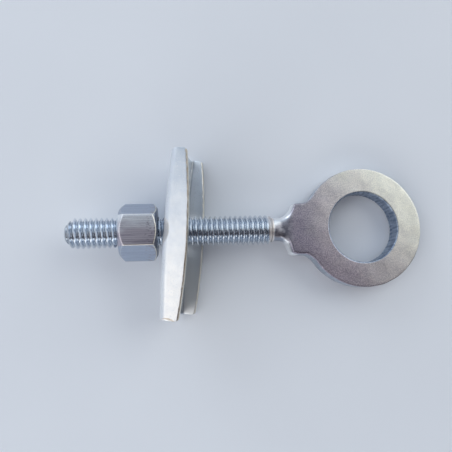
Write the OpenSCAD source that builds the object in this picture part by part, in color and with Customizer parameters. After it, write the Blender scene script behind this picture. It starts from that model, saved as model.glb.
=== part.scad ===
// Chain adjuster of a small motorcycle: forged eye bolt, folded end bracket, adjusting nut.
// Millimetres. The origin is the centre of the axle eye. +Z runs along the eye's bore,
// +X from the threaded rod towards the eye, +Y across the rod.

/* [Eye] */
// Bore of the eye, a running fit on a 14 mm wheel axle
eye_bore_d = 14.1; // [10:0.1:20]
// Outside diameter of the eye
eye_d = 24; // [20:0.1:34]
// Thickness of the flattened eye and its lug
eye_t = 3.7; // [2.5:0.1:8]
// Bevel along the eye's outer and bore edges
eye_bevel = 0.15; // [0.05:0.05:0.8]

/* [Lug and neck] */
// Width of the flat lug that joins the eye to the neck
lug_w = 9.9; // [7:0.1:16]
// Eye centre to the lug's square back corner on the upper side
lug_back = 14.4; // [13:0.1:20]
// How much farther back the lug reaches on its lower side
lug_skew = 0.45; // [0:0.05:1.5]
// Radius of the hollow from the lower shoulder into the neck
lower_hollow_r = 0.8; // [0.2:0.1:2]
// Radius of the hollow corners where the lug meets the eye
root_r = 1.3; // [0.3:0.1:4]
// Diameter of the neck between lug and thread
neck_d = 4.6; // [3:0.1:8]
// Length of the ramp on which the round neck is forged down to the flat
ramp_len = 1.3; // [0.4:0.1:4]

/* [Threaded rod] */
// Diameter over the thread crests, M6 as rolled
thread_d = 5.9; // [4:0.05:12]
// Eye centre to the end of the thread beside the neck
thread_from = 18; // [16:0.1:30]
// Eye centre to the free end of the rod
rod_end = 58.5; // [45:0.1:120]
// Bevel on the rod's free end
tip_bevel = 1.4; // [0.2:0.05:2]

/* [Adjusting nut] */
// Width of the nut across its flats
nut_af = 9.8; // [8:0.1:19]
// Height of the nut
nut_h = 7.3; // [4:0.1:14]
// Diameter of the flat ring that the corner bevel leaves on the outer end face
nut_outer_face_d = 9; // [7:0.1:18]
// Diameter of the flat ring that the corner bevel leaves on the end face at the bracket
nut_inner_face_d = 9.2; // [7:0.1:18]
// Angle of the outer bevel to the end face
nut_outer_bevel_deg = 42; // [15:1:45]
// Angle of the inner bevel to the end face
nut_inner_bevel_deg = 35; // [15:1:45]
// Clearance between the nut's bore and the thread crests, at the radius
nut_clearance = 0.05; // [0.02:0.01:0.1]
// Depth of the countersink at both ends of the bore
nut_sink = 0.4; // [0.1:0.1:1]
// Eye centre to the middle of the nut
nut_at = 44.7; // [30:0.05:100]
// Turn of the nut about the rod
nut_turn = 1; // [0:0.5:59]

/* [End bracket] */
// Length of the folded bracket, across the rod
bracket_l = 31.7; // [24:0.1:60]
// Height over the two flanges
bracket_h = 12.6; // [10:0.1:24]
// Depth of the flanges where they are deepest, from the back of the web
flange_depth = 5; // [4:0.1:14]
// Offset of that place from the middle of the bracket, across the rod
flange_peak_y = -2.3; // [-4:0.1:4]
// Radius of the flanges' swelling free edge
flange_edge_r = 125; // [60:1:400]
// Sheet thickness
sheet_t = 1.2; // [0.8:0.1:3]
// Outer radius of the two folds
fold_r = 1.6; // [1.3:0.1:4]
// How far the web bulges towards the nut at its middle
web_bulge = 0.55; // [0.1:0.05:2]
// Radius of the flanges' free corners
flange_corner_r = 0.4; // [0.2:0.1:2]
// Hole for the rod, with room for the bracket to tip
rod_hole_d = 8.8; // [7:0.1:14]
// Offset of the hole from the middle of the bracket, across the rod
rod_hole_y = 0.5; // [-1:0.1:1]
// How far the hole's relief runs into the flanges from the back of the web
relief_depth = 1.45; // [0.4:0.05:3]
// Radius of that relief, seen square to the flange
relief_r = 4.7; // [3:0.1:8]

/* [Bracket's place] */
// Eye centre to the middle of the web's back, along the rod
bracket_at = 38.45; // [30:0.05:90]
// Offset of the web's middle from the rod's axis, across
bracket_shift_y = -0.6; // [-0.8:0.05:0.8]
// Offset of the web's middle from the rod's axis, along the eye's bore
bracket_shift_z = 0.3; // [-0.4:0.05:0.4]
// Tip of the bracket towards the nut at its upper flange
bracket_tip = 17.3; // [0:0.1:18]
// Yaw of the bracket in the plane of the eye
bracket_yaw = -5; // [-8:0.5:8]
// Roll of the bracket about the rod
bracket_roll = 4.2; // [-180:0.1:180]

/* [Hidden] */
over = 1;
zinc_face = [0.80, 0.80, 0.74];
zinc_sheet = [0.88, 0.90, 0.92];
zinc_nut = [0.64, 0.63, 0.68];
neck_r = neck_d / 2;
thread_r = thread_d / 2;
shoulder_rise = lug_w / 2 - neck_r;
lug_inner = eye_bore_d / 2 + (eye_d - eye_bore_d) / 8;
root_x = sqrt(pow(eye_d / 2 + root_r, 2) - pow(lug_w / 2 + root_r, 2));
root_touch = eye_d / 2 / (eye_d / 2 + root_r);
nut_corner_r = nut_af / 2 / cos(30);
web_arc_r = pow(bracket_l / 2, 2) / (2 * web_bulge);
fold_inner_r = fold_r - sheet_t;

eye_bolt();
bracket();
hex_nut();

// One forging: the eye, its flat lug, the hollow shoulders, the neck and the threaded rod.
module eye_bolt() {
  color(zinc_face) {
    eye_ring();
    intersection() {
      lug_and_neck();
      forged_side_profile();
    }
    threaded_rod();
  }
}

module eye_ring() {
  rotate_extrude($fn = 128)
    polygon(ring_section());
}

function ring_section() = [
  [eye_bore_d / 2 + eye_bevel, -eye_t / 2],
  [eye_d / 2 - eye_bevel, -eye_t / 2],
  [eye_d / 2, -eye_t / 2 + eye_bevel],
  [eye_d / 2, eye_t / 2 - eye_bevel],
  [eye_d / 2 - eye_bevel, eye_t / 2],
  [eye_bore_d / 2 + eye_bevel, eye_t / 2],
  [eye_bore_d / 2, eye_t / 2 - eye_bevel],
  [eye_bore_d / 2, -eye_t / 2 + eye_bevel]
];

module lug_and_neck() {
  translate([0, 0, -neck_d])
    linear_extrude(height = 2 * neck_d)
      lug_plan();
  translate([-thread_from - over / 2, 0, 0])
    rotate([0, 90, 0])
      cylinder(r = neck_r, h = ramp_len + 2 * over, $fn = 64);
}

// Plan of the lug: square corners above, a raked back below, hollow roots at the eye.
module lug_plan() {
  difference() {
    polygon([
      [-lug_inner, lug_w / 2],
      [-lug_back - shoulder_rise, lug_w / 2],
      [-lug_back - shoulder_rise, -neck_r],
      [-lug_back - lug_skew - lower_hollow_r - shoulder_rise / 4, -neck_r],
      [-lug_back - lug_skew - shoulder_rise / 4, -neck_r - lower_hollow_r],
      [-lug_back - lug_skew, -lug_w / 2],
      [-lug_inner, -lug_w / 2]
    ]);
    translate([-lug_back - shoulder_rise, lug_w / 2])
      circle(r = shoulder_rise, $fn = 96);
  }
  root_corner();
  mirror([0, 1])
    root_corner();
}

module root_corner() {
  difference() {
    polygon([
      [-root_x, lug_w / 2 + root_r],
      [-root_x, lug_w / 2 - over],
      [-eye_d / 2 + over, lug_w / 2 - over],
      [-root_x * root_touch, (lug_w / 2 + root_r) * root_touch]
    ]);
    translate([-root_x, lug_w / 2 + root_r])
      circle(r = root_r, $fn = 64);
  }
}

// Side view that the forging die leaves: the round neck ramps down to the flat of the eye.
module forged_side_profile() {
  rotate([90, 0, 0])
    linear_extrude(height = 2 * eye_d, center = true)
      polygon([
        [-thread_from - over, neck_r + over / 2],
        [-thread_from, neck_r + over / 20],
        [-thread_from + ramp_len, eye_t / 2],
        [0, eye_t / 2],
        [0, -eye_t / 2],
        [-thread_from + ramp_len, -eye_t / 2],
        [-thread_from, -neck_r - over / 20],
        [-thread_from - over, -neck_r - over / 2]
      ]);
}

// The rod over its thread crests, with the free end and the thread's run-out bevelled.
module threaded_rod() {
  rotate([0, -90, 0])
    rotate_extrude($fn = 96)
      polygon([
        [0, thread_from],
        [neck_r, thread_from],
        [thread_r, thread_from + thread_r - neck_r],
        [thread_r, rod_end - tip_bevel],
        [thread_r - tip_bevel, rod_end],
        [0, rod_end]
      ]);
}

// Sheet-metal end cap that butts on the swing arm: a bowed channel, folded from one blank.
module bracket() {
  color(zinc_sheet)
    translate([-bracket_at, bracket_shift_y, bracket_shift_z])
      rotate([bracket_roll, 0, 0])
        rotate([0, 0, bracket_yaw])
          rotate([0, -bracket_tip, 0])
            folded_channel();
}

module folded_channel() {
  difference() {
    intersection() {
      translate([web_arc_r, 0, 0])
        rotate_extrude($fn = 1440)
          channel_section();
      translate([0, 0, -bracket_h])
        linear_extrude(height = 2 * bracket_h)
          flange_plan();
    }
    rod_hole();
  }
}

// Section of the bent sheet, as far from the axis of the web's bow as it lies.
module channel_section() {
  difference() {
    bent_block(web_arc_r, bracket_h / 2, fold_r);
    bent_block(web_arc_r - sheet_t, bracket_h / 2 - sheet_t, fold_inner_r);
  }
}

module bent_block(back, half_h, corner_r) {
  translate([back - flange_depth - 2 * over, -half_h + corner_r])
    square([flange_depth + 2 * over, 2 * (half_h - corner_r)]);
  translate([back - flange_depth - 2 * over, -half_h])
    square([flange_depth + 2 * over - corner_r, 2 * half_h]);
  for (side = [-1, 1])
    translate([back - corner_r, side * (half_h - corner_r)])
      circle(r = corner_r, $fn = 48);
}

// Plan of both flanges: a swelling free edge, a little askew, with rounded corners.
module flange_plan() {
  difference() {
    intersection() {
      translate([flange_depth - flange_edge_r, flange_peak_y])
        circle(r = flange_edge_r, $fn = 1440);
      translate([-over, -bracket_l / 2])
        square([flange_depth + 2 * over, bracket_l]);
    }
    for (side = [-1, 1])
      flange_corner_cut(side);
  }
}

// Depth of the free edge at one end of the bracket, side is 1 or -1.
function flange_end(side) =
  flange_depth - pow(side * bracket_l / 2 - flange_peak_y, 2) / (2 * flange_edge_r);

module flange_corner_cut(side) {
  translate([flange_end(side) - flange_corner_r, side * (bracket_l / 2 - flange_corner_r)])
    difference() {
      scale([1, side])
        square([flange_corner_r + over, flange_corner_r + over]);
      circle(r = flange_corner_r, $fn = 48);
    }
}

// Punched before folding, so the hole wraps over both folds as a shallow relief.
module rod_hole() {
  translate([-over, rod_hole_y, 0])
    rotate([0, 90, 0])
      cylinder(d = rod_hole_d, h = over + relief_depth, $fn = 96);
  translate([relief_depth - relief_r, rod_hole_y, -bracket_h])
    cylinder(r = relief_r, h = 2 * bracket_h, $fn = 96);
}

// Tall adjusting nut, bevelled at both ends and more so at its outer end.
module hex_nut() {
  color(zinc_nut)
    translate([-nut_at, 0, 0])
      rotate([nut_turn, 0, 0])
        rotate([0, 90, 0])
          difference() {
            intersection() {
              rotate([0, 0, 30])
                cylinder(r = nut_corner_r, h = nut_h, center = true, $fn = 6);
              rotate_extrude($fn = 96)
                polygon(nut_turned_section());
            }
            nut_bore();
          }
}

// Outline of the turned blank: its height runs along the rod, with the inner end on top.
function nut_turned_section() = [
  [0, -nut_h / 2],
  [nut_outer_face_d / 2, -nut_h / 2],
  [nut_corner_r + over, -nut_h / 2 + bevel_rise(nut_outer_face_d, nut_outer_bevel_deg)],
  [nut_corner_r + over, nut_h / 2 - bevel_rise(nut_inner_face_d, nut_inner_bevel_deg)],
  [nut_inner_face_d / 2, nut_h / 2],
  [0, nut_h / 2]
];

function bevel_rise(face_d, deg) = (nut_corner_r + over - face_d / 2) * tan(deg);

module nut_bore() {
  cylinder(r = thread_r + nut_clearance, h = nut_h + 2 * over, center = true, $fn = 96);
  for (side = [-1, 1])
    scale([1, 1, side])
      translate([0, 0, nut_h / 2 - nut_sink])
        cylinder(
          r1 = thread_r + nut_clearance,
          r2 = thread_r + nut_clearance + nut_sink + over,
          h = nut_sink + over,
          $fn = 96
        );
}
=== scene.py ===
"""Looks of the chain adjuster: forged eye bolt with a rolled thread, folded bracket, hexagon nut.

Shapes are worked out in millimetres in the CAD frame, and each mesh is scaled to metres at the end.
A pair of numbers whose name ends in _X, _Y, _Z, _R, _W or _FADE tells over which stretch a change
sets in, from none to full: along an axis, by radius or by distance.
"""

import itertools
import math

import bmesh
import bpy
import numpy as np
from mathutils import Matrix, Vector


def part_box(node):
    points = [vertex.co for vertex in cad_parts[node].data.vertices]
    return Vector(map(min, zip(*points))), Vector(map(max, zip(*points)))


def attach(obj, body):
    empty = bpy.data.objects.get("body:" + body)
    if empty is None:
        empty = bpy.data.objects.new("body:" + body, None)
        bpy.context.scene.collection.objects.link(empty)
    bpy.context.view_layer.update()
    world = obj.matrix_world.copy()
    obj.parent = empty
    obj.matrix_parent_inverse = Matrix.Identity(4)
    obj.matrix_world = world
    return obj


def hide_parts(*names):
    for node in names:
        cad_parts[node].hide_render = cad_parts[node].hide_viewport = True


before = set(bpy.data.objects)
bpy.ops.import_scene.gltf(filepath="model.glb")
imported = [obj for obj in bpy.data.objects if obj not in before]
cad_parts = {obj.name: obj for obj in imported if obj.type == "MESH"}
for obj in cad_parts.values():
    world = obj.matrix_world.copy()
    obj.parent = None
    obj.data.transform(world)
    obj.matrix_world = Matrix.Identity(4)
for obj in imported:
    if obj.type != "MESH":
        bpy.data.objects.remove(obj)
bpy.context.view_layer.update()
MM = 1000

# Eye and lug of the forging
EYE_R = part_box("eye_bolt")[1].x * MM
BORE_R = 7.05
EYE_HALF_T = 1.85
EYE_EDGE_R = 0.12
BORE_EDGE_R = 0.28
FRACTURE_DEPTH = 0.09
FRACTURE_Z = (0.1, -0.35)
LUG_BACK = 14.25
LUG_UPPER = 5.15
LUG_LOWER = 5.25
LUG_CORNER_R = 0.55
ROOT_R = 1.5
RAKE_AT = (-16.0, -2.9)
RAKE_DEG = 22

# Neck, whose round section is forged down to the flat of the lug
NECK_R = 2.3
NECK_END = -19.25
NECK_SQUARES_X = (-15.6, -13)
LUG_SQUARES_X = (-12, -9)
NECK_THICKENS_X = (-16.5, -18.3)
NECK_THICKER = 0.2
NECK_SOFTENS_X = (-14.5, -16.0)
NECK_SOFTER = 0.5
SHOULDER_R = 2.7
LOWER_HOLLOW_R = 0.6
SHOULDER_POWER = 1.5

# Plain band beside the neck, where the thread runs out
COLLAR_AT = -18.75
COLLAR_R = 2.4
COLLAR_HALF_W = 0.45
COLLAR_EDGE_R = 0.12

# Depth of the swells on each surface, and how far apart they are
WALL_SWELLS = (0.015, 4)
FACE_SWELLS = (0.012, 7)
COLLAR_SWELLS = (0.03, 2)
SHEET_SWELLS = (0.02, 9)

# Rolled thread, M6 x 1, which sinks a little towards the rod's tip
PITCH = 1.0
THREAD_FROM = -18.5
ROD_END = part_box("eye_bolt")[0].x * MM
CREST_R = 2.95
THREAD_ROOT_R = 2.34
CREST_FLAT = 0.125
FLANK_DEG = 60
TROUGH_TURN = 110.6 / 360
TIP_BEVEL = 1.4
TIP_EDGE_L = 0.05
TIP_EDGE_R = 0.12
TIP_SINK = 0.65
TIP_SINKS_X = (ROD_END + 1.3 * TIP_BEVEL, ROD_END)
ENVELOPE_CLEARANCE = 0.1
PROFILE = (0, 0.055, 0.1, 0.15, 0.3, 0.41, 0.45, 0.5)
THREAD_STEPS = 56
LATHE_STEPS = 96

# Nut
NUT_AT = -44.7
NUT_TURN = 1
NUT_H = 7.3
NUT_HALF_AF = 4.9
NUT_REACH = 6.2
NUT_OUTER_FACE_R = 4.5
NUT_INNER_FACE_R = 4.6
NUT_OUTER_BEVEL_DEG = 42
NUT_INNER_BEVEL_DEG = 35
NUT_BEVEL_EDGE_R = 0.1
NUT_EDGE_R = 0.12
NUT_SINK = 0.4
NUT_SINK_EDGE_R = 0.06
TAP_CREST_R = 3.02
TAP_ROOT_R = 2.47
TAP_CLEARANCE = 0.08

# Folded bracket, in its own frame: x from the back of the web, z square to the flanges
BRACKET_AT = (-38.45, -0.6, 0.3)
BRACKET_TURNS = (4.2, -5, -17.3)
HALF_L = 15.85
HALF_H = 6.3
SHEET_T = 1.2
FOLD_R = 1.6
FLANGE_DEPTH = 5.0
FLANGE_PEAK_Y = -2.3
FLANGE_EDGE_R = 125
WEB_BULGE = 0.55
END_BULGE = 0.35
END_BULGE_AT = 2.4
FLANGE_CORNER_R = 0.4
SHEET_EDGE_R = 0.14
END_ROLL_R = 0.32
END_ROLL_AT = 2.2
END_ROLL_HALF_W = 1.5
END_ROLL_Y = (-HALF_L + 1.5, -HALF_L + 0.8)
HOLE_R = 4.4
HOLE_Y = 0.5
RELIEF_DEPTH = 1.45
RELIEF_R = 4.7

# Where the parts of the sheet's surface that look different begin
FREE_EDGE_FADE = (-0.16, -0.03)
CUT_FADE = (0.14, 0.05)
BURR_FADE = (0.15, 0.05)
BURR_DEPTH = 0.4
INSIDE_FADE = (0.2, 0.5)
CREASE_FADE = (1.25, 0.85)
CREASE_CLEARANCE = 0.3
LOWER_STAIN = 0.2

# Painted highlights along the nut's edges, whose strength depends on the end and the side that they
# are near
EDGE_HIGHLIGHT_FADE = (0.13, 0.03)
EDGE_HIGHLIGHT_OUTER_END = -2.6
EDGE_HIGHLIGHT_INNER_END = 2.4
EDGE_HIGHLIGHT_FAINT = 0.15
EDGE_HIGHLIGHT_WEAK = 0.3
EDGE_HIGHLIGHT_STRONG = 0.9

# Mesh cells that the forms are drawn with, and how their points settle on the surface
EYE_CELL = 0.15
BRACKET_CELL = 0.15
NUT_CELL = 0.115
MARGIN_CELLS = 3
SETTLE_ROUNDS = 6
SETTLE_REACH = 0.7
NUDGES_PER_CELL = 50
LEAST_STEEPNESS = 0.05

# What it rests on: the bracket's lower fold and the far rim of the eye
REST_POINT = (-36, 0, -5.35)
REST_NORMAL = (-0.066, -0.062, 0.996)

# Camera fitted to the photograph
CAMERA_AT = (-37.19, -11.16, 88.25)
CAMERA_RIGHT = (0.9941, -0.0331, 0.1029)
CAMERA_UP = (0.0187, 0.9903, 0.1379)
LENS_MM = 35.84
SENSOR_MM = 36
CLIP_START_M = 0.001

# Studio, in metres and in directions: lamps round the rod, and a dark flag beside the camera
LAMP_DISTANCE = 0.5
LAMP_CENTRE = (-0.02, 0, 0)
FLAG_AT = (0.20, -0.42, 0.89)
FLAG_HALF = (0.36, 0.60, 2.0)
FLAG_FADE = (0.85, 1.25)
CEILING_Z = (0.15, 0.42)
NEAR_CEILING_Y = (0.13, 0.05)

# Surroundings
FLOOR_SIZE = 2
FLOOR_DARK = (0.83, 0.87, 0.93)
FLOOR_PALE = (0.86, 0.90, 0.96)
FLOOR_ROUGHNESS = 0.75
FLOOR_SPECULAR = 0.2
WALL = (0.42, 0.50, 0.62)
CEILING = (0.46, 0.52, 0.60)
NEAR_CEILING = (0.09, 0.08, 0.10)
FLAG = (0.07, 0.06, 0.07)

# Zinc on the eye and the lug. The face's cream-to-mauve drift is partly the plating's own tint and
# partly a painted reflection, and the lug's darker tint is a painted reflection
# Cream and mauve: partly the plating's own tint, partly a painted reflection
MAUVE = (0.60, 0.53, 0.59)
CREAM = (0.77, 0.77, 0.69)
MAUVE_SPECK_TINT = (0.56, 0.56, 0.62)
CREAM_SPECK_TINT = (0.80, 0.81, 0.85)
WORN_TINT = (0.90, 0.91, 0.93)
# Painted reflection: the lug is tinted darker
LUG_REFLECTION_TINT = (0.80, 0.82, 0.86)
LUG_DARKENS_X = (-8, -12.5)
CREAM_SLANT = 0.8
CREAM_DRIFT = 14
CREAM_REACH = (-14, 12)
SIDE_WALL_Z = (1.65, 1.35)
# Side walls: real streaks in a dark blue-grey that is a painted reflection
SIDE_REFLECTION_DARK = (0.42, 0.47, 0.54)
SIDE_REFLECTION_PALE = (0.56, 0.61, 0.67)
BORE_WALL_R = (BORE_R + 0.35, BORE_R + 0.2)
# Bore wall: real streaks, darkened as painted shade inside the bore
BORE_SHADE_DARK = (0.18, 0.23, 0.32)
BORE_SHADE_PALE = (0.44, 0.51, 0.61)

# Zinc on the neck and its shoulders, with a painted highlight across the neck's face and on the
# shoulders, and painted shade under the neck
NECK_X = (-14.2, -15.8)
NECK_DARK = (0.18, 0.18, 0.22)
NECK_PALE = (0.40, 0.40, 0.45)
# Painted highlight: a bright band across the neck's face
NECK_LIT = (0.86, 0.90, 0.95)
NECK_LIT_WAY = (-0.55, 1, 0)
NECK_LIT_FADE = (10.1, 10.9)
# Painted highlight on the shoulders
SHOULDER_HIGHLIGHT = (0.95, 0.96, 0.97)
SHOULDER_X = (-13.4, -14.0)
# Painted shade under the neck
UNDERSIDE_SHADE = (0.36, 0.39, 0.46)
UNDERSIDE_X = (-15.9, -16.6)
UNDERSIDE_Y = (-0.5, -1.0)

# Zinc on the thread and the plain band, with painted shade in the thread's roots and a painted shade
# line round the middle of the band
THREAD_X = (-18.0, -18.6)
THREAD_R = (2.45, CREST_R)
# Painted shade in the thread's roots
THREAD_ROOT_SHADE = (0.50, 0.56, 0.64)
THREAD_CREST = (0.80, 0.84, 0.89)
THREAD_TIP = (0.52, 0.56, 0.61)
THREAD_TIP_X = (ROD_END + 1.6, ROD_END + 0.9)
THREAD_ROUGHNESS = 0.22
COLLAR = (0.86, 0.82, 0.80)
COLLAR_X_FADE = (COLLAR_HALF_W + 0.15, COLLAR_HALF_W)
COLLAR_R_FADE = (2.2, 2.4)
# Painted shade line round the band's middle
COLLAR_SHADE_LINE = (0.45, 0.43, 0.42)
COLLAR_SHADE_LINE_FADE = (0.16, 0.06)
COLLAR_ROUGHNESS = 0.5

# Zinc on the sheet, brighter towards its lower end as painted light
# Painted light: the sheet brightens towards its lower end
SHEET_BRIGHTENS_Y = (15, -12)
SHEET_UPPER = (0.60, 0.65, 0.71)
SHEET_LOWER = (0.90, 0.89, 0.86)
SHEET_DULL_TINT = (0.91, 0.93, 0.96)
# Inside faces: painted light and shade, lighter at the upper end and darker at the lower
INSIDE_UPPER = (0.86, 0.91, 0.96)
INSIDE_LOWER = (0.72, 0.73, 0.73)
# Painted shade in the inner crease of the fold
CREASE_PAINTED_SHADE = (0.46, 0.50, 0.55)
SHEARED = (0.88, 0.84, 0.74)
STAIN = (0.42, 0.31, 0.18)
# Painted highlight on the upper fold
FOLD_HIGHLIGHT = (0.97, 0.98, 1.0)
FOLD_HIGHLIGHT_SHARE = 0.6
FOLD_ROUGHNESS = 0.5
SHEET_SPECK = (0.74, 0.76, 0.78)

# Zinc on the nut, whose flats change from mauve to bright across the rod, partly the plating's tint
# and partly a painted reflection, with the side flats darkened as a painted reflection
NUT_MAUVE = (0.56, 0.52, 0.57)
NUT_BRIGHT = (0.95, 0.98, 1.0)
NUT_BRIGHTENS_Y = (-0.5, 1.7)
NUT_DRIFT = 0.6
# Painted reflection: the side flats are darker
NUT_SIDE_FLAT_SHADE = (0.45, 0.51, 0.61)
NUT_SIDE_FLAT_SHADE_Y = (2.85, 3.05)
NUT_LINE_TINT = (0.84, 0.83, 0.86)
NUT_PIT = (0.35, 0.33, 0.38)
NUT_PITTED_X = (NUT_AT + 0.8, NUT_AT + 2.2)
NUT_UNPITTED = 0.14
# Painted shade on the bevel at the nut's inner end
NUT_INNER_RIM_SHADE = (0.24, 0.26, 0.32)
NUT_INNER_RIM_SHADE_X = (NUT_AT + NUT_H / 2 - 0.5, NUT_AT + NUT_H / 2 - 0.3)
# Painted highlight along the nut's edges, in cream
NUT_EDGE_HIGHLIGHT = (0.95, 0.91, 0.80)

# Stretch of a noise that holds nearly all of its values
NOISE_REACH = (0.3, 0.7)


def eased(low, high, value):
    """0 below low, 1 above high, and a smooth change between them."""
    t = np.clip((value - low) / (high - low), 0, 1)
    return t * t * (3 - 2 * t)


def union(a, b, fillet_r, power=2):
    """Distance to two forms joined by a fillet."""
    near_a = np.maximum(fillet_r - a, 0)
    near_b = np.maximum(fillet_r - b, 0)
    return np.maximum(fillet_r, np.minimum(a, b)) - (near_a**power + near_b**power) ** (1 / power)


def shared(a, b, edge_r):
    """Distance to what two forms share, with the edge between them rounded."""
    past_a = np.maximum(edge_r + a, 0)
    past_b = np.maximum(edge_r + b, 0)
    return np.minimum(-edge_r, np.maximum(a, b)) + np.hypot(past_a, past_b)


def swells(x, y, z, depth, reach):
    """Low swells of a struck or folded surface: waves with directions and phases of no meaning."""
    k = 2 * math.pi / reach
    first = np.sin(k * (x + 0.6 * y) + 0.7) * np.sin(k * (0.8 * y - 0.3 * x) + 2.1)
    second = np.sin(1.9 * k * (x - 0.5 * y) + 1.3) * np.sin(1.7 * k * (y + z) + 0.4)
    return depth * (first + 0.5 * second)


def forging_plan(x, y):
    """Distance to the outline of the eye, the lug and the neck, seen along the eye's axis."""
    eye = np.hypot(x, y) - EYE_R
    rake = math.radians(RAKE_DEG)
    raked = -(x - RAKE_AT[0]) * math.cos(rake) - (y - RAKE_AT[1]) * math.sin(rake)
    back = np.where(y > 0, -x - LUG_BACK, raked)
    sides = np.maximum(y - LUG_UPPER, -y - LUG_LOWER)
    lug = np.maximum(shared(back, sides, LUG_CORNER_R), x + BORE_R)
    neck = np.maximum(np.abs(y) - NECK_R, x + LUG_BACK)
    fillet_r = np.where(y > 0, SHOULDER_R, LOWER_HOLLOW_R)
    return union(union(eye, lug, ROOT_R), neck, fillet_r, SHOULDER_POWER)


def collar(x, y, z):
    """The plain band where the thread runs out."""
    band = shared(np.hypot(y, z) - COLLAR_R, np.abs(x - COLLAR_AT) - COLLAR_HALF_W, COLLAR_EDGE_R)
    return band + swells(x, 2 * y, 2 * z, *COLLAR_SWELLS)


def bore(x, y, z):
    """The bore, whose lower half is torn: its limit and its depth wander round the bore."""
    angle = np.arctan2(y, x)
    torn = eased(*FRACTURE_Z, z + 0.25 * np.sin(3 * angle + 1) + 0.12 * np.sin(11 * angle))
    ragged = 1 + 0.5 * np.sin(37 * angle + 3 * z) * np.sin(23 * angle - 5 * z)
    return BORE_R + FRACTURE_DEPTH * torn * ragged - np.hypot(x, y)


def forging(x, y, z):
    """The flat eye, its lug and the neck, whose section is round at the rod and square at the lug."""
    plan = forging_plan(x, y)
    power = 2 + 2 * eased(*NECK_SQUARES_X, x) + 6 * eased(*LUG_SQUARES_X, x)
    wall = (np.maximum(NECK_R + plan, 0) ** power + np.abs(z) ** power) ** (1 / power) - NECK_R
    wall = wall + swells(x, y, z, *WALL_SWELLS)
    half_t = EYE_HALF_T + NECK_THICKER * eased(*NECK_THICKENS_X, x)
    face = np.abs(z) - (half_t + swells(x, y, 0, *FACE_SWELLS))
    body = shared(wall, face, EYE_EDGE_R + NECK_SOFTER * eased(*NECK_SOFTENS_X, x))
    body = np.minimum(body, collar(x, y, z))
    body = shared(body, bore(x, y, z), BORE_EDGE_R)
    return np.maximum(body, NECK_END - x)


def end_cone(end, radius, face_r, deg):
    """Distance to a flat end face whose rim is bevelled outside face_r."""
    bevel = math.radians(deg)
    cone = end * math.cos(bevel) + (radius - face_r) * math.sin(bevel)
    return shared(end, cone, NUT_BEVEL_EDGE_R)


def nut_forms(x, y, z):
    """Distances to the three pairs of flats and to the bevelled ends, x along the axis."""
    flats = [
        np.abs(y * math.sin(a) + z * math.cos(a)) - NUT_HALF_AF
        for a in (0, math.pi / 3, -math.pi / 3)
    ]
    radius = np.hypot(y, z)
    end = np.abs(x) - NUT_H / 2
    inner = end_cone(end, radius, NUT_INNER_FACE_R, NUT_INNER_BEVEL_DEG)
    outer = end_cone(end, radius, NUT_OUTER_FACE_R, NUT_OUTER_BEVEL_DEG)
    return (*flats, np.where(x > 0, inner, outer))


def nut(x, y, z):
    """Hexagon with bevelled corners and a sunk hole mouth, x along its axis."""
    body, *others = nut_forms(x, y, z)
    for other in others:
        body = shared(body, other, NUT_EDGE_R)
    mouth = (TAP_CREST_R + np.abs(x) - NUT_H / 2 + NUT_SINK - np.hypot(y, z)) / math.sqrt(2)
    return shared(body, mouth, NUT_SINK_EDGE_R)


def flange_edge(y):
    """Depth of the flanges' free edge, an arc with its peak off the middle."""
    return FLANGE_DEPTH - (y - FLANGE_PEAK_Y) ** 2 / (2 * FLANGE_EDGE_R)


def behind_web(x, y):
    """Depth behind the middle of the bowed web's thickness."""
    return x - WEB_BULGE * (y / HALF_L) ** 2 - SHEET_T / 2


def end_setback(x):
    """How far the bulged end of a flange stands back from its longest place."""
    return END_BULGE * ((x - END_BULGE_AT) / END_BULGE_AT) ** 2


def roll_width(x):
    """Share of its full width that the rolled edge at the flange's lower end has."""
    return np.clip(1 - ((x - END_ROLL_AT) / END_ROLL_HALF_W) ** 2, 0, 1)


def relief(x, y, z):
    """Distance to the round relief beside the hole, which slopes through the upper fold."""
    slope = np.where(z > 0, HALF_H - z, 0)
    return np.hypot(x - RELIEF_DEPTH + RELIEF_R + slope, y - HOLE_Y) - RELIEF_R


def bracket(x, y, z):
    """Bowed channel, folded from sheet."""
    depth = behind_web(x, y)
    height = np.abs(z) - (HALF_H - SHEET_T / 2)
    fold_r = FOLD_R - SHEET_T / 2
    fold = np.hypot(np.minimum(depth - fold_r, 0), np.maximum(height + fold_r, 0)) - fold_r
    straight = np.maximum(-depth, height)
    middle = np.where((depth < fold_r) & (height > -fold_r), fold, straight)
    middle = middle + swells(x, y, z, *SHEET_SWELLS)
    ends = np.abs(y) - HALF_L + end_setback(x)
    blank = shared(x - flange_edge(y), ends, FLANGE_CORNER_R)
    rolled = eased(*END_ROLL_Y, y) * roll_width(x)
    sheet = shared(np.abs(middle) - SHEET_T / 2, blank, SHEET_EDGE_R + END_ROLL_R * rolled)
    punched = np.maximum(np.hypot(y - HOLE_Y, z) - HOLE_R, x - RELIEF_DEPTH)
    return shared(sheet, -np.minimum(punched, relief(x, y, z)), SHEET_EDGE_R)


def draw(field, low, high, cell):
    """Points and outward quads of the surface where a distance field is zero."""
    axes = [np.arange(a, b + cell, cell) for a, b in zip(low, high)]
    inside = field(*np.meshgrid(*axes, indexing="ij", sparse=True)) < 0
    cells = [len(a) - 1 for a in axes]
    count = np.zeros(cells, int)
    for corner in itertools.product((0, 1), repeat=3):
        count += inside[tuple(slice(c, c + n) for c, n in zip(corner, cells))]
    crossed = (count > 0) & (count < 8)
    number = np.full(cells, -1)
    number[crossed] = np.arange(crossed.sum())
    centres = np.stack([a[i] + cell / 2 for a, i in zip(axes, np.nonzero(crossed))], axis=1)
    return settle(field, centres, cell), walls(inside, number)


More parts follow.
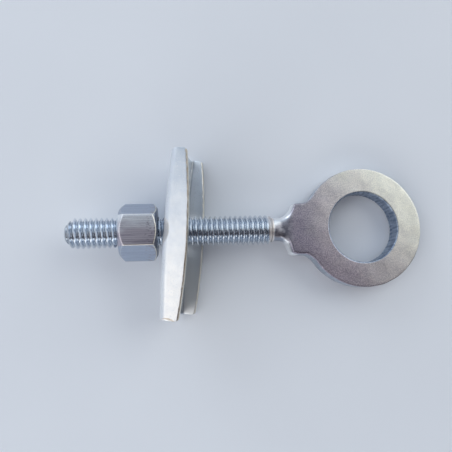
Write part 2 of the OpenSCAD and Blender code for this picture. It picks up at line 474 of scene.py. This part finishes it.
def settle(field, centres, cell):
    """Moves the points of a grid onto the surface, each no farther than its own cell."""
    points = centres.copy()
    nudge = cell / NUDGES_PER_CELL
    reach = SETTLE_REACH * cell
    for _ in range(SETTLE_ROUNDS):
        slope = np.empty_like(points)
        for axis in range(3):
            shift = np.zeros(3)
            shift[axis] = nudge
            ahead, behind = points + shift, points - shift
            slope[:, axis] = (field(*ahead.T) - field(*behind.T)) / (2 * nudge)
        steepness = np.maximum((slope**2).sum(axis=1), LEAST_STEEPNESS)
        points -= (field(*points.T) / steepness)[:, None] * slope
        points = np.clip(points, centres - reach, centres + reach)
    return points


def walls(inside, number):
    """One quad for each grid edge that crosses the surface."""
    quads = []
    for axis in range(3):
        side, up = (axis + 1) % 3, (axis + 2) % 3
        size = inside.shape[axis]
        near = np.take(inside, range(size - 1), axis)
        change = np.argwhere(near != np.take(inside, range(1, size), axis))
        corners = []
        for a, b in ((1, 1), (0, 1), (0, 0), (1, 0)):
            back = np.zeros(3, int)
            back[side], back[up] = a, b
            corners.append(number[tuple((change - back).T)])
        ring = np.stack(corners, axis=1)
        faces_out = near[tuple(change.T)]
        quads.append(np.where(faces_out[:, None], ring, ring[:, ::-1]))
    return np.concatenate(quads)


def make_mesh(name, points, faces):
    mesh = bpy.data.meshes.new(name)
    mesh.from_pydata([tuple(p) for p in points], [], [tuple(int(i) for i in f) for f in faces])
    mesh.update()
    return mesh


def drawn(name, field, low, high, cell):
    """Mesh of a distance field, in a box that is given without its margin."""
    margin = MARGIN_CELLS * cell
    return make_mesh(name, *draw(field, [a - margin for a in low], [b + margin for b in high], cell))


def write_back(bm, mesh):
    """Turns all faces outward and puts the edited form back into its mesh."""
    bmesh.ops.recalc_face_normals(bm, faces=bm.faces)
    bm.to_mesh(mesh)
    bm.free()


def thread_profile(crest_r, root_r, lift):
    """Places along one pitch, and the radius at each."""
    flat = PITCH / 2 - CREST_FLAT / 2
    slope = math.tan(math.radians(FLANK_DEG))
    places = np.array(PROFILE + tuple(PITCH - t for t in PROFILE[-2:0:-1]))
    from_root = np.minimum(places, PITCH - places)
    return places, np.clip(CREST_R + lift - slope * (flat - from_root), root_r, crest_r)


def helix_quads(rows, width):
    """Quads between the rows of a helix, whose ends meet the beginnings one turn later."""
    row, place = np.meshgrid(np.arange(rows - 1), np.arange(width), indexing="ij")
    last = place == width - 1
    row_over = np.where(last, row + THREAD_STEPS, row)
    place_over = np.where(last, 0, place + 1)
    corners = ((row, place), (row + 1, place), (row_over + 1, place_over), (row_over, place_over))
    quads = np.stack([r * width + p for r, p in corners], axis=2)
    return quads[row_over + 1 < rows]


def screw(name, crest_r, root_r, lift, start, turns):
    """Closed body with a right-hand thread, whose mesh rows follow the helix."""
    places, radii = thread_profile(crest_r, root_r, lift)
    rows = THREAD_STEPS * turns + 1
    angles = 2 * math.pi * np.arange(rows) / THREAD_STEPS
    x = start - TROUGH_TURN + angles[:, None] * PITCH / (2 * math.pi) + places
    radii = radii - TIP_SINK * eased(*TIP_SINKS_X, x)
    y = np.cos(angles)[:, None] * radii
    z = np.sin(angles)[:, None] * radii
    points = np.stack([x, y, z], axis=2).reshape(-1, 3)
    mesh = make_mesh(name, points, helix_quads(rows, len(places)))
    bm = bmesh.new()
    bm.from_mesh(mesh)
    middle = start + turns * PITCH / 2
    reach = turns * PITCH / 2 + 2 * PITCH
    for side in (-1, 1):
        tip = bm.verts.new((middle + side * reach, 0, 0))
        rim = [e for e in bm.edges if e.is_boundary and (e.verts[0].co.x - middle) * side > 0]
        for edge in rim:
            bm.faces.new((*edge.verts, tip))
    write_back(bm, mesh)
    return mesh


def lathe(name, profile):
    """Solid of revolution about X, from (x, radius) points that start and end on the axis."""
    steps = LATHE_STEPS
    angles = 2 * math.pi * np.arange(steps) / steps
    rings = profile[1:-1]
    points = [(profile[0][0], 0, 0), (profile[-1][0], 0, 0)]
    points += [(x, r * math.cos(a), r * math.sin(a)) for x, r in rings for a in angles]
    faces = []
    for i in range(steps):
        j = (i + 1) % steps
        faces.append((0, 2 + j, 2 + i))
        for k in range(len(rings) - 1):
            low, high = 2 + k * steps, 2 + (k + 1) * steps
            faces.append((low + i, low + j, high + j, high + i))
        top = 2 + (len(rings) - 1) * steps
        faces.append((1, top + i, top + j))
    mesh = make_mesh(name, points, faces)
    bm = bmesh.new()
    bm.from_mesh(mesh)
    write_back(bm, mesh)
    return mesh


def combined(base, other, operation):
    """Boolean of two closed meshes."""
    first = bpy.data.objects.new("first", base)
    second = bpy.data.objects.new("second", other)
    for o in (first, second):
        bpy.context.scene.collection.objects.link(o)
    modifier = first.modifiers.new("boolean", "BOOLEAN")
    modifier.object = second
    modifier.operation = operation
    modifier.solver = "MANIFOLD"
    solid = first.evaluated_get(bpy.context.evaluated_depsgraph_get())
    result = bpy.data.meshes.new_from_object(solid)
    for o in (first, second):
        bpy.data.objects.remove(o)
    return result


def piece(name, mesh, node, body, material, sharp_deg):
    """Turns a mesh in millimetres into a shown piece that stands for a CAD node."""
    mesh.transform(Matrix.Scale(1 / MM, 4))
    mesh.name = name
    mesh.shade_smooth()
    mesh.set_sharp_from_angle(angle=math.radians(sharp_deg))
    mesh.materials.clear()
    mesh.materials.append(material)
    obj = bpy.data.objects.new(name, mesh)
    bpy.context.scene.collection.objects.link(obj)
    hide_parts(node)
    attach(obj, body)
    return obj


def add(tree, kind, inputs=None, **settings):
    """A shader node, whose inputs are set to a value or linked to a socket."""
    node = tree.nodes.new("ShaderNode" + kind)
    for key, value in settings.items():
        setattr(node, key, value)
    for key, value in (inputs or {}).items():
        if isinstance(value, bpy.types.NodeSocket):
            tree.links.new(value, node.inputs[key])
        else:
            node.inputs[key].default_value = value
    return node


def calculate(tree, operation, *values):
    return add(tree, "Math", dict(enumerate(values)), operation=operation).outputs[0]


def reckon(tree, operation, *vectors):
    """Outputs of a vector calculation: the vector first, and the value under its name."""
    return add(tree, "VectorMath", dict(enumerate(vectors)), operation=operation).outputs


def distance(tree, place, axes):
    """Distance from the origin, measured along the given axes alone."""
    return reckon(tree, "LENGTH", reckon(tree, "MULTIPLY", place, axes)[0])["Value"]


def separate(tree, vector):
    return add(tree, "SeparateXYZ", {0: vector}).outputs


def attribute(tree, name):
    return add(tree, "Attribute", attribute_name=name).outputs["Fac"]


def spread(tree, value, low, high, to_low=0.0, to_high=1.0):
    """Stretches the part of a value between low and high."""
    values = {"Value": value, 1: low, 2: high, 3: to_low, 4: to_high}
    return add(tree, "MapRange", values).outputs[0]


def noise(tree, where, scale, detail, stretch=(1, 1, 1)):
    """Noise whose features are about 1 / scale millimetres across."""
    placed = add(tree, "Mapping", {"Vector": where, "Scale": stretch})
    values = {"Vector": placed.outputs[0], "Scale": scale, "Detail": detail}
    return add(tree, "TexNoise", values).outputs["Fac"]


def patches(tree, where, scale, detail, low=0.35, high=0.65, stretch=(1, 1, 1)):
    """Patches from 0 to 1, from the part of a noise between low and high."""
    return spread(tree, noise(tree, where, scale, detail, stretch), low, high)


def mixed(tree, share, first, second):
    """Mix of two plain values."""
    return add(tree, "Mix", {0: share, 2: first, 3: second}).outputs[0]


def blend(tree, share, first, second, mode="MIX"):
    """Mix of two colours, each a socket or its red, green and blue."""
    first, second = ((*c, 1.0) if isinstance(c, tuple) else c for c in (first, second))
    values = {0: share, 6: first, 7: second}
    return add(tree, "Mix", values, data_type="RGBA", blend_type=mode).outputs[2]


def tinted(tree, colour, tint):
    return blend(tree, 1.0, colour, tint, "MULTIPLY")


def coated(tree, colour, *coats):
    """Lays coats over a colour in turn, each of them a share and a colour."""
    for share, coat in coats:
        colour = blend(tree, share, colour, coat)
    return colour


def new_material(name):
    """A material with its tree and shader, and the place on the part in millimetres."""
    material = bpy.data.materials.new(name)
    material.use_nodes = True
    tree = material.node_tree
    place = add(tree, "TexCoord").outputs["Object"]
    scaled = add(tree, "VectorMath", {0: place, "Scale": MM}, operation="SCALE").outputs[0]
    return material, tree, tree.nodes["Principled BSDF"], scaled


def bump(tree, height, depth_mm, strength, normal=None):
    values = {"Height": height, "Distance": depth_mm / MM, "Strength": strength}
    if normal:
        values["Normal"] = normal
    return add(tree, "Bump", values).outputs[0]


def make_metal(tree, shader, colour, rough, normal):
    shader.inputs["Metallic"].default_value = 1.0
    tree.links.new(colour, shader.inputs["Base Color"])
    tree.links.new(rough, shader.inputs["Roughness"])
    tree.links.new(normal, shader.inputs["Normal"])


def eye_face(tree, place, along):
    """Cream towards the eye's far side and mauve near the lug, partly the plating's tint and partly a
    painted reflection, with the lug darkened as a painted reflection, and with specks and worn
    patches.
    """
    slanted = calculate(tree, "ADD", calculate(tree, "MULTIPLY", along[1], CREAM_SLANT), along[0])
    cloud = noise(tree, place, scale=0.25, detail=4)
    drift = calculate(tree, "MULTIPLY_ADD", cloud, CREAM_DRIFT, -CREAM_DRIFT / 2)
    cream_tint_and_light = spread(tree, calculate(tree, "ADD", slanted, drift), *CREAM_REACH)
    # partly painted reflection: dull mauve near the lug to bright cream on the far side
    colour = blend(tree, cream_tint_and_light, MAUVE, CREAM)
    speck = patches(tree, place, scale=4.4, detail=4, low=0.40, high=0.62)
    speck_tint = blend(tree, cream_tint_and_light, MAUVE_SPECK_TINT, CREAM_SPECK_TINT)
    colour = blend(tree, speck, tinted(tree, colour, speck_tint), colour)
    worn = patches(tree, place, scale=0.9, detail=3)
    colour = blend(tree, worn, tinted(tree, colour, WORN_TINT), colour)
    # painted reflection: the lug is darkened
    lug = spread(tree, along[0], *LUG_DARKENS_X)
    return blend(tree, lug, colour, tinted(tree, colour, LUG_REFLECTION_TINT))


def neck_face(tree, place):
    """Dark mottle with a bright diagonal that is a painted highlight."""
    mottle = patches(tree, place, scale=1.4, detail=5, low=0.42, high=0.62, stretch=(0.6, 1, 1))
    diagonal = reckon(tree, "DOT_PRODUCT", place, NECK_LIT_WAY)["Value"]
    # painted highlight across the neck's face
    painted_highlight = spread(tree, diagonal, *NECK_LIT_FADE)
    return coated(tree, blend(tree, mottle, NECK_DARK, NECK_PALE), (painted_highlight, NECK_LIT))


def side_face(tree, along, streaks):
    """Streaked side walls in a dark blue-grey that is a painted reflection, with a painted highlight
    on the shoulders and painted shade under the neck.
    """
    low = spread(tree, along[1], *UNDERSIDE_Y)
    under = calculate(tree, "MULTIPLY", low, spread(tree, along[0], *UNDERSIDE_X))
    # painted highlight on the shoulders, painted shade under the neck
    highlight_and_shade = blend(tree, under, SHOULDER_HIGHLIGHT, UNDERSIDE_SHADE)
    # side walls darkened as a painted reflection, over real streaks
    side = blend(tree, streaks, SIDE_REFLECTION_DARK, SIDE_REFLECTION_PALE)
    return coated(tree, side, (spread(tree, along[0], *SHOULDER_X), highlight_and_shade))


def thread_face(tree, along, from_rod):
    """Darker in the thread's root, as painted shade, and on the rod's tip."""
    # painted shade: darker towards the thread's roots
    crest = spread(tree, from_rod, *THREAD_R)
    tip = spread(tree, along[0], *THREAD_TIP_X)
    return coated(tree, blend(tree, crest, THREAD_ROOT_SHADE, THREAD_CREST), (tip, THREAD_TIP))


def collar_coat(tree, along, from_rod):
    """Share and colour of the plain band, with a painted shade line round its middle; the band itself
    has no groove there.
    """
    apart = calculate(tree, "ABSOLUTE", calculate(tree, "SUBTRACT", along[0], COLLAR_AT))
    outside = spread(tree, from_rod, *COLLAR_R_FADE)
    share = calculate(tree, "MULTIPLY", spread(tree, apart, *COLLAR_X_FADE), outside)
    # painted shade line round the band's middle
    shade_line = spread(tree, apart, *COLLAR_SHADE_LINE_FADE)
    return share, blend(tree, shade_line, COLLAR, COLLAR_SHADE_LINE)


def forged_zinc():
    """Bright zinc on the whole forging: its faces, side walls, torn bore, neck and thread, with
    painted reflection, highlights and shade in places.
    """
    material, tree, shader, place = new_material("forged_zinc")
    along = separate(tree, place)
    from_rod = distance(tree, place, (0, 1, 1))
    streaks = patches(tree, place, scale=2.4, detail=4, stretch=(1, 1, 0.15))
    neck = spread(tree, along[0], *NECK_X)
    side = spread(tree, calculate(tree, "ABSOLUTE", along[2]), *SIDE_WALL_Z)
    bore_wall = spread(tree, distance(tree, place, (1, 1, 0)), *BORE_WALL_R)
    thread = spread(tree, along[0], *THREAD_X)
    collar_share, collar_colour = collar_coat(tree, along, from_rod)
    colour = coated(
        tree,
        eye_face(tree, place, along),
        (neck, neck_face(tree, place)),
        (side, side_face(tree, along, streaks)),
        # painted shade on the bore wall, over real streaks
        (bore_wall, blend(tree, streaks, BORE_SHADE_DARK, BORE_SHADE_PALE)),
        (thread, thread_face(tree, along, from_rod)),
        (collar_share, collar_colour),
    )
    rough = spread(tree, noise(tree, place, scale=2.2, detail=4), *NOISE_REACH, 0.30, 0.46)
    rough = mixed(tree, thread, rough, THREAD_ROUGHNESS)
    rough = mixed(tree, collar_share, rough, COLLAR_ROUGHNESS)
    grain = noise(tree, place, scale=5.5, detail=5)
    dents = noise(tree, place, scale=1.3, detail=3)
    normal = bump(tree, grain, depth_mm=0.03, strength=0.42)
    normal = bump(tree, dents, depth_mm=0.03, strength=0.3, normal=normal)
    make_metal(tree, shader, colour, rough, normal)
    return material


def sheet_zinc():
    """Satin zinc on rolled sheet with cream cut edges and brown stains, and painted light and shade:
    brighter towards the lower end, a highlight on the upper fold, shade in the crease, and light and
    shade on the inside faces.
    """
    material, tree, shader, place = new_material("sheet_zinc")
    # painted light: the sheet is brighter towards its lower end
    lower_end = spread(tree, separate(tree, place)[1], *SHEET_BRIGHTENS_Y)
    tone = blend(tree, lower_end, SHEET_UPPER, SHEET_LOWER)
    cloud = patches(tree, place, scale=0.5, detail=4)
    stained = spread(tree, noise(tree, place, scale=1.6, detail=4), 0.35, 0.6, 0.55, 1.0)
    fold = attribute(tree, "fold")
    colour = coated(
        tree,
        blend(tree, cloud, tinted(tree, tone, SHEET_DULL_TINT), tone),
        # painted light and shade on the inside faces
        (attribute(tree, "inner_side"), blend(tree, lower_end, INSIDE_UPPER, INSIDE_LOWER)),
        # painted shade in the inner crease
        (attribute(tree, "crease"), CREASE_PAINTED_SHADE),
        (attribute(tree, "sheared"), SHEARED),
        (calculate(tree, "MULTIPLY", attribute(tree, "torn_edge"), stained), STAIN),
        # painted highlight on the upper fold
        (calculate(tree, "MULTIPLY", fold, FOLD_HIGHLIGHT_SHARE), FOLD_HIGHLIGHT),
    )
    clear = patches(tree, place, scale=4.0, detail=3, low=0.30, high=0.44)
    colour = blend(tree, clear, SHEET_SPECK, colour)
    rough = spread(tree, noise(tree, place, scale=1.8, detail=4), *NOISE_REACH, 0.30, 0.40)
    rough = mixed(tree, fold, rough, FOLD_ROUGHNESS)
    grain = noise(tree, place, scale=6.0, detail=4)
    dents = noise(tree, place, scale=0.7, detail=2)
    normal = bump(tree, grain, depth_mm=0.02, strength=0.4)
    normal = bump(tree, dents, depth_mm=0.05, strength=0.2, normal=normal)
    make_metal(tree, shader, colour, rough, normal)
    return material


def nut_zinc():
    """Zinc over drawn flats: fine lines along the nut and a few pits near its inner end, with painted
    reflection on the flats, painted shade at the inner rim and painted highlights along the edges.
    """
    material, tree, shader, place = new_material("nut_zinc")
    along = separate(tree, place)
    lines = noise(tree, place, scale=8.5, detail=2, stretch=(0.012, 1, 1))
    cloud = patches(tree, place, scale=0.7, detail=4, stretch=(0.5, 1, 1))
    drift = spread(tree, cloud, 0, 1, -NUT_DRIFT, NUT_DRIFT)
    # partly painted reflection: the flats run from mauve to bright across the rod
    tone = spread(tree, calculate(tree, "ADD", along[1], drift), *NUT_BRIGHTENS_Y)
    # painted reflection: the side flats are darkened
    side_flat_shade = spread(tree, calculate(tree, "ABSOLUTE", along[1]), *NUT_SIDE_FLAT_SHADE_Y)
    colour = coated(tree, blend(tree, tone, NUT_MAUVE, NUT_BRIGHT), (side_flat_shade, NUT_SIDE_FLAT_SHADE))
    between_lines = spread(tree, lines, 0.40, 0.60)
    colour = blend(tree, between_lines, tinted(tree, colour, NUT_LINE_TINT), colour)
    pits = noise(tree, place, scale=2.6, detail=3, stretch=(0.6, 1.4, 1.4))
    lift = spread(tree, along[0], *NUT_PITTED_X, NUT_UNPITTED, 0.0)
    clear = spread(tree, calculate(tree, "ADD", pits, lift), 0.38, 0.46)
    colour = coated(
        tree,
        blend(tree, clear, NUT_PIT, colour),
        # painted shade on the inner bevel
        (spread(tree, along[0], *NUT_INNER_RIM_SHADE_X), NUT_INNER_RIM_SHADE),
        # painted highlight along the edges
        (attribute(tree, "worn_edge"), NUT_EDGE_HIGHLIGHT),
    )
    rough = spread(tree, lines, *NOISE_REACH, 0.24, 0.40)
    normal = bump(tree, lines, depth_mm=0.02, strength=0.5)
    make_metal(tree, shader, colour, rough, normal)
    return material


def mesh_points(mesh):
    points = np.empty(3 * len(mesh.vertices))
    mesh.vertices.foreach_get("co", points)
    return points.reshape(-1, 3).T


def mark(mesh, **attributes):
    for name, value in attributes.items():
        mesh.attributes.new(name, "FLOAT", "POINT").data.foreach_set("value", value)


def mark_nut(mesh):
    """Vertex values for the painted highlights on the edges between the flats and towards the bevels.
    """
    x, y, z = mesh_points(mesh)
    forms = np.sort(nut_forms(x, y, z), axis=0)
    strong = (y < 0) | (x > EDGE_HIGHLIGHT_INNER_END)
    share = np.where(strong, EDGE_HIGHLIGHT_STRONG, EDGE_HIGHLIGHT_WEAK)
    share = np.where(x < EDGE_HIGHLIGHT_OUTER_END, EDGE_HIGHLIGHT_FAINT, share)
    # painted highlight along the edges
    mark(mesh, worn_edge=eased(*EDGE_HIGHLIGHT_FADE, forms[-1] - forms[-2]) * share)


def mark_sheet(mesh):
    """Vertex values for the cut edges, the upper fold's painted highlight, the painted shade in the
    inner crease and the painted light and shade of the inside, in the bracket's own frame.
    """
    x, y, z = mesh_points(mesh)
    behind = behind_web(x, y)
    beside = HALF_H - SHEET_T / 2 - np.abs(z)
    free_edge = eased(*FREE_EDGE_FADE, x - flange_edge(y))
    cut = eased(*CUT_FADE, relief(x, y, z)) * (np.abs(z) > HOLE_R)
    outer_half = eased(HALF_H - 0.45 * SHEET_T, HALF_H - 0.25 * SHEET_T, np.abs(z))
    stained = free_edge * outer_half * np.where(z > 0, 1, LOWER_STAIN)
    width = roll_width(x)
    from_roll = np.abs(y - (-HALF_L + end_setback(x)) - 0.5 * width)
    burr = eased(*BURR_FADE, from_roll) * (z > HALF_H - BURR_DEPTH) * eased(0, 0.2, width)
    mark(
        mesh,
        sheared=np.maximum(free_edge, cut),
        # the upper fold, which carries a painted highlight
        fold=eased(FOLD_R, 0.5 * FOLD_R, behind + SHEET_T / 2) * (z > HALF_H - FOLD_R),
        torn_edge=np.maximum(stained, burr),
        # painted light and shade on the inside faces
        inner_side=eased(*INSIDE_FADE, np.minimum(behind, beside)) * (1 - free_edge),
        # painted shade in the inner crease
        crease=eased(*CREASE_FADE, behind)
        * eased(*CREASE_FADE, beside)
        * (beside > CREASE_CLEARANCE),
    )


def rod_envelope():
    """What the thread is trimmed to: a bevelled tip, and a cone where it runs out at the neck."""
    tip_r = CREST_R - TIP_BEVEL
    clear_r = CREST_R + ENVELOPE_CLEARANCE
    profile = [
        (ROD_END, 0),
        (ROD_END, tip_r - TIP_EDGE_R),
        (ROD_END + TIP_EDGE_L, tip_r),
        (ROD_END + TIP_BEVEL * 0.9, CREST_R - 0.06),
        (ROD_END + TIP_BEVEL * 1.15, clear_r),
        (THREAD_FROM - (CREST_R - NECK_R), clear_r),
        (THREAD_FROM, NECK_R - 0.05),
        (THREAD_FROM, 0),
    ]
    return lathe("envelope", profile)


def make_eye_bolt():
    low = (NECK_END, -EYE_R, -COLLAR_R)
    body = drawn("forging", forging, low, (EYE_R, EYE_R, COLLAR_R), EYE_CELL)
    turns = math.ceil((THREAD_FROM - ROD_END) / PITCH) + 3
    rod = screw("rod", CREST_R, THREAD_ROOT_R, 0, math.floor(ROD_END) - 1, turns)
    rod = combined(rod, rod_envelope(), "INTERSECT")
    mesh = combined(body, rod, "UNION")
    return piece("eye_bolt_forged", mesh, "eye_bolt", "eye_bolt", forged_zinc(), 38)


def make_nut():
    reach = (NUT_H / 2, NUT_REACH, NUT_REACH)
    mesh = drawn("nut", nut, [-r for r in reach], reach, NUT_CELL)
    mark_nut(mesh)
    mesh.transform(
        Matrix.Translation((NUT_AT, 0, 0)) @ Matrix.Rotation(math.radians(NUT_TURN), 4, "X")
    )
    turns = math.ceil(NUT_H / PITCH) + 5
    start = math.floor(NUT_AT) - turns // 2
    tap = screw("tap", TAP_CREST_R, TAP_ROOT_R, TAP_CLEARANCE, start, turns)
    mesh = combined(mesh, tap, "DIFFERENCE")
    return piece("hex_nut_cut", mesh, "hex_nut", "hex_nut", nut_zinc(), 38)


def make_bracket():
    low, high = (0, -HALF_L, -HALF_H), (FLANGE_DEPTH, HALF_L, HALF_H)
    mesh = drawn("bracket", bracket, low, high, BRACKET_CELL)
    mark_sheet(mesh)
    roll, yaw, tip = (math.radians(a) for a in BRACKET_TURNS)
    mesh.transform(
        Matrix.Translation(BRACKET_AT)
        @ Matrix.Rotation(roll, 4, "X")
        @ Matrix.Rotation(yaw, 4, "Z")
        @ Matrix.Rotation(tip, 4, "Y")
    )
    return piece("bracket_folded", mesh, "bracket", "bracket", sheet_zinc(), 45)


def make_floor():
    """Plain pale table top, square to the way the part rests."""
    mesh = bpy.data.meshes.new("floor")
    bm = bmesh.new()
    bmesh.ops.create_grid(bm, x_segments=1, y_segments=1, size=FLOOR_SIZE)
    bm.to_mesh(mesh)
    bm.free()
    material, tree, shader, place = new_material("pale_floor")
    cloud = spread(tree, noise(tree, place, scale=0.02, detail=3), *NOISE_REACH)
    tree.links.new(blend(tree, cloud, FLOOR_DARK, FLOOR_PALE), shader.inputs["Base Color"])
    shader.inputs["Roughness"].default_value = FLOOR_ROUGHNESS
    shader.inputs["Specular IOR Level"].default_value = FLOOR_SPECULAR
    mesh.materials.append(material)
    floor = bpy.data.objects.new("floor", mesh)
    turn = Vector(REST_NORMAL).to_track_quat("Z", "Y").to_matrix().to_4x4()
    floor.matrix_world = Matrix.Translation(Vector(REST_POINT) / MM) @ turn
    bpy.context.scene.collection.objects.link(floor)


def softbox(name, direction, width, height, radiance, colour, turn=0):
    """Soft lamp that faces the part and looks as bright as radiance."""
    data = bpy.data.lights.new(name, "AREA")
    data.shape = "RECTANGLE"
    data.size = width
    data.size_y = height
    data.energy = radiance * math.pi * width * height
    data.color = colour
    lamp = bpy.data.objects.new(name, data)
    away = Vector(direction).normalized()
    lamp.matrix_world = (
        Matrix.Translation(away * LAMP_DISTANCE + Vector(LAMP_CENTRE))
        @ away.to_track_quat("Z", "Y").to_matrix().to_4x4()
        @ Matrix.Rotation(math.radians(turn), 4, "Z")
    )
    bpy.context.scene.collection.objects.link(lamp)


def make_lamps():
    softbox(
        "left_box",
        direction=(-0.72, -0.20, 0.70),
        width=0.40,
        height=0.44,
        radiance=1.14,
        colour=(0.98, 0.99, 1.0),
    )
    softbox(
        "right_box",
        direction=(0.66, 0.42, 0.62),
        width=0.44,
        height=0.44,
        radiance=1.3,
        colour=(1.0, 0.98, 0.90),
    )
    softbox(
        "front_strip",
        direction=(-0.40, -0.85, 0.34),
        width=0.70,
        height=0.18,
        radiance=1.8,
        colour=(1.0, 0.99, 0.96),
        turn=20,
    )
    softbox(
        "back_strip",
        direction=(-0.60, 0.72, 0.34),
        width=0.30,
        height=0.25,
        radiance=2.2,
        colour=(0.90, 0.95, 1.0),
    )


def make_world():
    """Pale walls, a greyer ceiling that is dark on the near side, and a dark flag."""
    world = bpy.data.worlds.new("studio")
    world.use_nodes = True
    tree = world.node_tree
    way = add(tree, "TexCoord").outputs["Generated"]
    along = separate(tree, way)
    near_side = spread(tree, along[1], *NEAR_CEILING_Y)
    ceiling = blend(tree, near_side, CEILING, NEAR_CEILING)
    colour = blend(tree, spread(tree, along[2], *CEILING_Z), WALL, ceiling)
    offset = reckon(tree, "SUBTRACT", way, FLAG_AT)[0]
    apart = reckon(tree, "LENGTH", reckon(tree, "DIVIDE", offset, FLAG_HALF)[0])["Value"]
    colour = blend(tree, spread(tree, apart, *FLAG_FADE), FLAG, colour)
    tree.links.new(colour, tree.nodes["Background"].inputs["Color"])
    bpy.context.scene.world = world


def make_camera():
    data = bpy.data.cameras.new("camera")
    data.lens = LENS_MM
    data.sensor_width = SENSOR_MM
    data.clip_start = CLIP_START_M
    camera = bpy.data.objects.new("camera", data)
    right = Vector(CAMERA_RIGHT).normalized()
    back = right.cross(Vector(CAMERA_UP)).normalized()
    up = back.cross(right)
    axes = Matrix((right, up, back)).transposed().to_4x4()
    camera.matrix_world = Matrix.Translation(Vector(CAMERA_AT) / MM) @ axes
    bpy.context.scene.collection.objects.link(camera)
    bpy.context.scene.camera = camera


make_eye_bolt()
make_nut()
make_bracket()
make_floor()
make_world()
make_lamps()
make_camera()
bpy.context.scene.view_settings.view_transform = "Standard"
